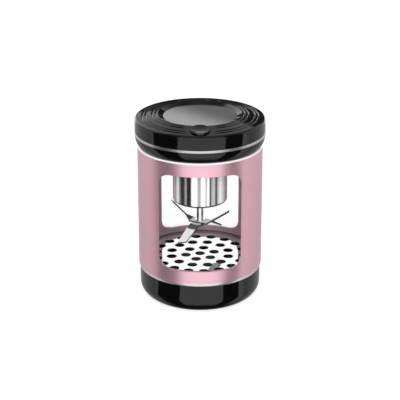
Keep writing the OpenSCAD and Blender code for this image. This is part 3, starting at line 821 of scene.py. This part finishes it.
@dataclass
class MotorHead:
    """The head's shells, the motor and the electronics inside."""

    edge: float = 0.18 * MM
    cap_edge: float = 0.16 * MM
    # Painted reflections on the cover: places round the axis from the front, and their brightness.
    painted_reflections: tuple[tuple[float, float], ...] = (
        (0.0, 0.97), (0.14, 0.97), (0.156, 0.25), (0.172, 0.97), (0.21, 0.97), (0.237, 0.24),
        (0.27, 0.015), (0.3, 0.04), (0.328, 0.3), (0.35, 0.013), (0.385, 0.01), (0.41, 0.8),
        (0.43, 0.97), (0.453, 0.97), (0.477, 0.34), (0.5, 0.27), (0.523, 0.97), (0.547, 0.97),
        (0.571, 0.34), (0.6, 0.95), (0.62, 0.013), (0.646, 0.4), (0.672, 0.45), (0.7, 0.05),
        (0.735, 0.6), (0.763, 0.97), (0.905, 0.6), (0.93, 0.97),
    )
    shells: tuple[str, ...] = ("head_chassis", "trim_ring")
    inside: tuple[str, ...] = (
        "head_seal", "cap_screws", "housing_screws", "motor_case", "motor_magnets", "motor_end_bell",
        "motor_terminals", "motor_brushes", "motor_bushings", "motor_dampers", "motor_screws",
        "shaft_seal", "circuit_board", "board_screws", "battery_cell", "battery_tape", "usb_socket",
        "switch_body", "board_chips", "motor_leads", "battery_leads",
    )

    def build(self, finisher: Finisher) -> None:
        """Dresses the shells, the motor's cover and what is inside."""
        for node in self.shells:
            soften_edges(finisher.dress(node), self.edge)
        soften_edges(finisher.dress("top_cap"), self.cap_edge)
        finisher.dress("badge_disc", BadgeFoil("smoked foil").make())
        cover = ReflectionPaintedCover("plate with painted reflections", self.painted_reflections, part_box("motor_housing")[0].z)
        soften_edges(finisher.dress("motor_housing", cover.make()), self.edge)
        for node in self.inside:
            finisher.dress(node)


@dataclass
class Button:
    """The push button and the switch plunger under it."""

    edge: float = 0.15 * MM

    def build(self, finisher: Finisher) -> None:
        """Dresses the button and its plunger."""
        soften_edges(finisher.dress("power_button"), self.edge)
        finisher.dress("switch_plunger")


@dataclass
class Rotor:
    """The motor's shaft and windings, and the blades that it spins."""

    edge: float = 0.08 * MM
    upper_turn: float = math.radians(-28)
    lower_turn: float = math.radians(54)
    # Where the lower blade's band of painted shade lies, as distances from the axis.
    lower_bend: tuple[float, float] = (4.8 * MM, 7.6 * MM)
    turning: tuple[str, ...] = (
        "motor_shaft", "armature_core", "armature_coils", "commutator", "blade_hub", "blade_screw",
    )

    def build(self, finisher: Finisher) -> None:
        """Dresses the blades and what turns them."""
        upper = StampedBlade("upper blade steel", self.upper_turn)
        lower = StampedBlade("lower blade steel", self.lower_turn, self.lower_bend)
        for node, finish in (("upper_blade", upper), ("lower_blade", lower)):
            soften_edges(finisher.dress(node, finish.make()), self.edge)
        for node in self.turning:
            finisher.dress(node)


@dataclass(frozen=True)
class Card:
    """One card of the surround, in degrees: its middle round from the front towards +X, half its
    width, its lowest and highest edge over the horizon, and its soft border; and how bright it is.
    """

    middle: float
    half: float
    low: float
    high: float
    level: float
    soft: float


@dataclass(frozen=True)
class Lamp:
    """A large soft lamp that shows in no reflection: its name, place, diameter and power in watts."""

    name: str
    place: tuple[float, float, float]
    size: float
    energy: float


@dataclass
class Studio:
    """The pale floor, the soft light and the camera."""

    lens: float = 118.3
    camera_at: tuple[float, float, float] = (0.0, -0.6253, 0.2928)
    pitch: float = math.radians(90 - 21.21)
    sensor: float = 36.0
    nearest: float = 0.01
    furthest: float = 60.0
    floor_size: float = 60.0
    floor_at: tuple[float, float, float] = (0.0, 1.0, 0.0)
    floor_grey: float = 0.8
    floor_rough: float = 0.9
    floor_glow: float = 0.55
    cards: tuple[Card, ...] = (
        Card(-64.0, 25.0, -90.0, 52.0, 0.02, 1.0),
        Card(62.5, 17.5, -90.0, 52.0, 0.02, 1.0),
        Card(180.0, 88.0, -60.0, -14.0, 0.5, 6.0),
        Card(0.0, 195.0, -110.0, -57.0, 0.03, 11.0),
        Card(180.0, 13.0, -8.0, 8.0, 0.03, 2.0),
        Card(-157.0, 10.0, -15.0, 9.0, 1.8, 1.0),
        Card(157.0, 10.0, -15.0, 7.0, 1.8, 1.0),
        Card(160.0, 9.0, 8.0, 20.0, 0.05, 1.0),
        Card(165.0, 11.0, 8.0, 27.0, 0.05, 0.8),
        Card(-170.0, 8.0, 3.0, 12.0, 0.05, 1.0),
        Card(180.0, 4.0, 20.5, 28.0, 1.12, 1.0),
        Card(-153.0, 13.0, 10.0, 50.0, 1.5, 3.0),
    )
    front: float = 1.0
    back: float = 0.72
    back_until: float = -0.6
    front_from: float = 0.2
    dimming: tuple[tuple[float, float], ...] = ((25.0, 1.0), (42.0, 0.55), (62.0, 0.22), (72.0, 0.5))
    lamp_target: tuple[float, float, float] = (0.0, 0.0, 0.05)
    overhead: Lamp = Lamp("overhead", (-0.25, -0.2, 1.1), 0.9, 2.0)
    fill: Lamp = Lamp("front fill", camera_at, 0.3, 4.3)

    def floor(self) -> None:
        """Lays the floor, which is left out of mirror reflections."""
        bpy.ops.mesh.primitive_plane_add(size=self.floor_size, location=self.floor_at)
        floor = bpy.context.object
        floor.name = "studio_floor"
        recipe = Recipe("pale floor")
        recipe.setting("Base Color", (self.floor_grey, self.floor_grey, self.floor_grey, 1.0))
        recipe.setting("Roughness", self.floor_rough)
        recipe.setting("Emission Color", (1.0, 1.0, 1.0, 1.0))
        recipe.setting("Emission Strength", self.floor_glow)
        floor.data.materials.append(recipe.material)
        floor.visible_glossy = False

    def sky(self) -> None:
        """Sets a pale surround, dimmest some 60 degrees up, with its dark and bright cards."""
        world = bpy.data.worlds.new("white surround")
        bpy.context.scene.world = world
        world.use_nodes = True
        tree = world.node_tree
        light = tree.nodes["Background"]

        def step(kind: str, *inputs: Any, **settings: Any) -> Socket:
            """Adds a node, feeds its inputs and returns its first output."""
            made = tree.nodes.new("ShaderNode" + kind)
            for key, value in settings.items():
                setattr(made, key, value)
            for socket, value in zip(made.inputs, inputs):
                if isinstance(value, bpy.types.NodeSocket):
                    tree.links.new(value, socket)
                else:
                    socket.default_value = value
            return made.outputs[0]

        def times(first: Socket | float, second: Socket | float) -> Socket:
            """Multiplies two numbers."""
            return step("Math", first, second, operation="MULTIPLY")

        degrees = 180.0 / math.pi
        way = tree.nodes.new("ShaderNodeTexCoord").outputs["Generated"]
        split = tree.nodes.new("ShaderNodeSeparateXYZ")
        tree.links.new(way, split.inputs[0])
        away = times(split.outputs[1], -1.0)
        turn = step("Math", split.outputs[0], away, operation="ARCTAN2")
        turn = times(turn, degrees)
        rise = step("Math", split.outputs[2], operation="ARCSINE")
        rise = times(rise, degrees)
        level = step("MapRange", away, self.back_until, self.front_from, self.back, self.front)
        for (start, high), (end, low) in zip(self.dimming, self.dimming[1:]):
            dimmed = step("MapRange", rise, start, end, 1.0, low / high)
            level = times(level, dimmed)
        for card in self.cards:
            off = step("Math", turn, card.middle, operation="SUBTRACT")
            off = step("Math", step("Math", off, 180.0, -180.0, operation="WRAP"), operation="ABSOLUTE")
            soft = card.soft
            beside = step("MapRange", off, card.half - soft, card.half + soft, 1.0, 0.0)
            above = step("MapRange", rise, card.low - soft, card.low + soft, 0.0, 1.0)
            below = step("MapRange", rise, card.high - soft, card.high + soft, 1.0, 0.0)
            share = times(times(beside, above), below)
            change = step("Math", card.level, level, operation="SUBTRACT")
            level = step("Math", level, times(share, change), operation="ADD")
        tree.links.new(level, light.inputs["Strength"])
        light.inputs["Color"].default_value = (1.0, 1.0, 1.0, 1.0)

    def light(self, lamp: Lamp) -> None:
        """Sets up a lamp that points at the grinder.

        Args:
            lamp: The lamp to set up.
        """
        data = bpy.data.lights.new(lamp.name, "AREA")
        data.shape = "DISK"
        data.size = lamp.size
        data.energy = lamp.energy
        holder = bpy.data.objects.new(lamp.name, data)
        holder.location = lamp.place
        towards = Vector(self.lamp_target) - holder.location
        holder.rotation_euler = towards.to_track_quat("-Z", "Y").to_euler()
        holder.visible_glossy = False
        bpy.context.scene.collection.objects.link(holder)

    def camera(self) -> None:
        """Sets the camera, with no depth of field and no shift."""
        data = bpy.data.cameras.new("camera")
        data.lens = self.lens
        data.sensor_width = self.sensor
        data.dof.use_dof = False
        data.clip_start, data.clip_end = self.nearest, self.furthest
        holder = bpy.data.objects.new("camera", data)
        holder.location = self.camera_at
        holder.rotation_euler = (self.pitch, 0.0, 0.0)
        bpy.context.scene.collection.objects.link(holder)
        bpy.context.scene.camera = holder

    def build(self) -> None:
        """Builds the studio."""
        self.camera()
        self.floor()
        self.sky()
        self.light(self.overhead)
        self.light(self.fill)
        bpy.context.scene.view_settings.view_transform = "Standard"
        log.info("studio is set")


def main() -> None:
    """Builds the studio and every sub-assembly."""
    Studio().build()
    finisher = Finisher()
    for part in (BaseCup(), Chamber(), MotorHead(), Button(), Rotor()):
        part.build(finisher)
        log.info("%s is dressed", type(part).__name__)


if __name__ == "__main__":
    main()
